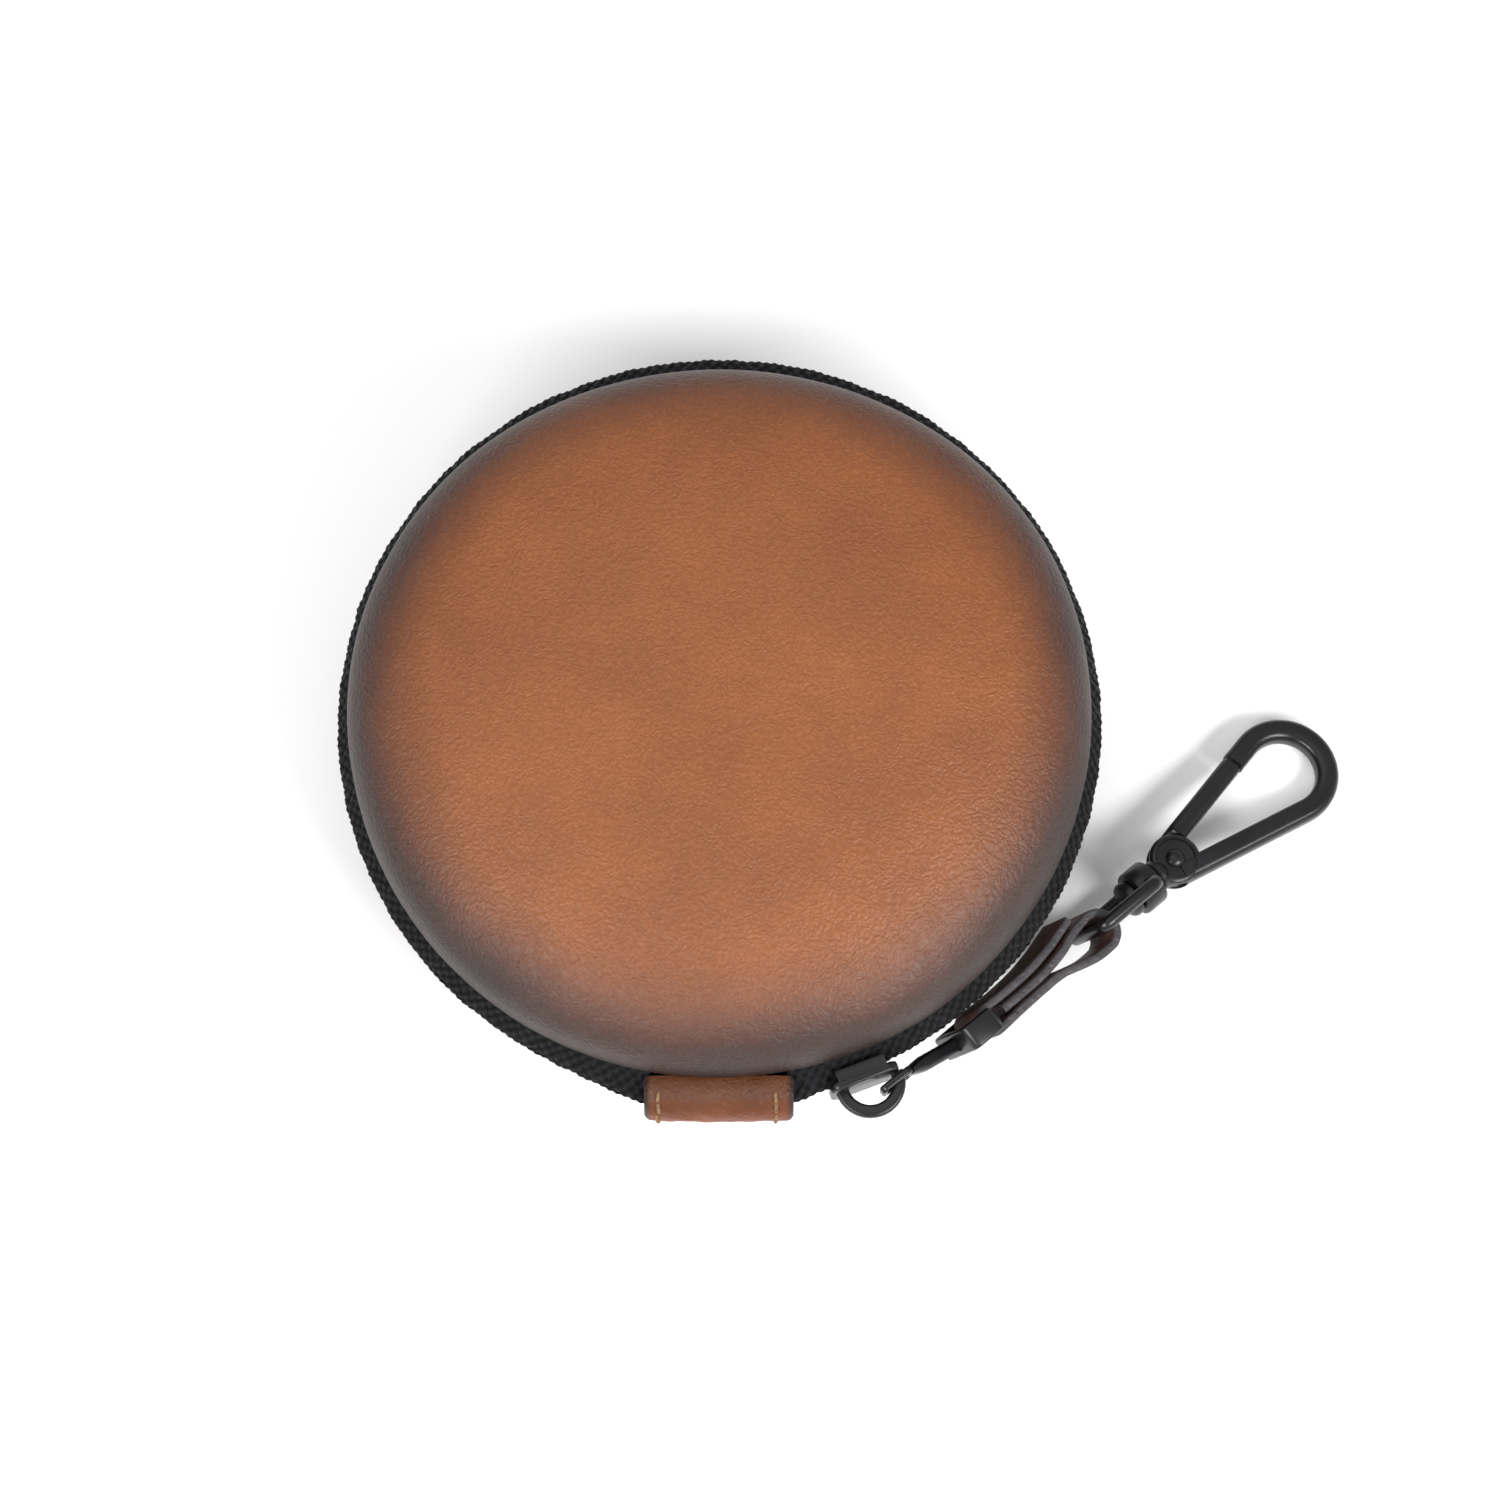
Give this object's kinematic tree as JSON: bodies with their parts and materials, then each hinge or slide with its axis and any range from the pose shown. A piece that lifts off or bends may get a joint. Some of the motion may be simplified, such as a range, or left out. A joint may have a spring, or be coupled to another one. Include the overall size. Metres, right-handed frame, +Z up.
{
  "type": "coin purse",
  "caption": "Round moulded leather zip case with a domed lid and base, a leather hinge patch, and a zip pull with a folded strap, swivel and sprung snap hook.",
  "frame": {"origin": "middle of the flat underside that the case stands on", "axes": "+X right, +Y to the back with the hinge patch at the front, +Z up"},
  "size_m": [0.1327, 0.1035, 0.038],
  "materials": {
    "leather": "burnished brown leather, darker round the rim",
    "patch_leather": "brown leather with a dark cut edge",
    "strap_leather": "dark leather with painted black edges",
    "tape": "black woven tape",
    "coil": "black moulded coil",
    "lining": "dark knitted lining",
    "foam": "dense moulded foam",
    "thread": "tan sewing thread",
    "black_metal": "satin black coated zinc",
    "spring_steel": "drawn wire"
  },
  "bodies": {
    "base": {"base_cover": "leather", "base_stiffener": "foam", "base_lining": "lining", "base_binding": "tape", "lower_tape": "tape", "lower_chain": "coil", "upper_tape_ends": "tape", "upper_chain_ends": "coil", "hinge_patch": "patch_leather", "hinge_stitches": "thread", "hinge_tape": "tape", "hinge_lining": "lining"},
    "lid": {"lid_cover": "leather", "lid_stiffener": "foam", "lid_lining": "lining", "lid_binding": "tape", "upper_tape": "tape", "upper_chain": "coil"},
    "slider": {"slider_body": "black_metal", "slider_crown": "black_metal"},
    "pull": {"pull": "black_metal"},
    "strap": {"strap": "strap_leather"},
    "eye": {"swivel_eye": "black_metal"},
    "hook": {"hook_body": "black_metal", "swivel_post": "black_metal", "gate_rivet": "black_metal", "gate_spring": "spring_steel"},
    "gate": {"gate": "black_metal"}
  },
  "joints": [
    {"name": "lid_hinge", "type": "hinge", "parent": "base", "child": "lid", "pos_m": [0, -0.0515, 0.019], "axis": [1, 0, 0], "range_deg": [0, 115]},
    {"name": "zip_travel", "type": "hinge", "parent": "base", "child": "slider", "pos_m": [0, 0, 0.019], "axis": [0, 0, 1], "range_deg": [0, 280]},
    {"name": "pull_swing", "type": "hinge", "parent": "slider", "child": "pull", "pos_m": [0.02126, -0.04925, 0.019], "axis": [0, 0, -1], "range_deg": [0, 115]},
    {"name": "strap_swing", "type": "hinge", "parent": "pull", "child": "strap", "pos_m": [0.0341, -0.0391, 0.013], "axis": [-0.2919, 0.0631, -0.9544], "range_deg": [-1, 60]},
    {"name": "eye_swing", "type": "hinge", "parent": "strap", "child": "eye", "pos_m": [0.04867, -0.02603, 0.00941], "axis": [-0.2919, 0.0631, -0.9544], "range_deg": [-20, 60]},
    {"name": "hook_swivel", "type": "hinge", "parent": "eye", "child": "hook", "pos_m": [0.05584, -0.01959, 0.00764], "axis": [0.7321, 0.6569, -0.1805], "continuous": true},
    {"name": "gate_open", "type": "hinge", "parent": "hook", "child": "gate", "pos_m": [0.06009, -0.01578, 0.00659], "axis": [-0.1344, -0.1206, -0.9836], "range_deg": [0, 22], "stiffness_Nm_per_rad": 0.01, "springref_deg": -20.05}
  ]
}
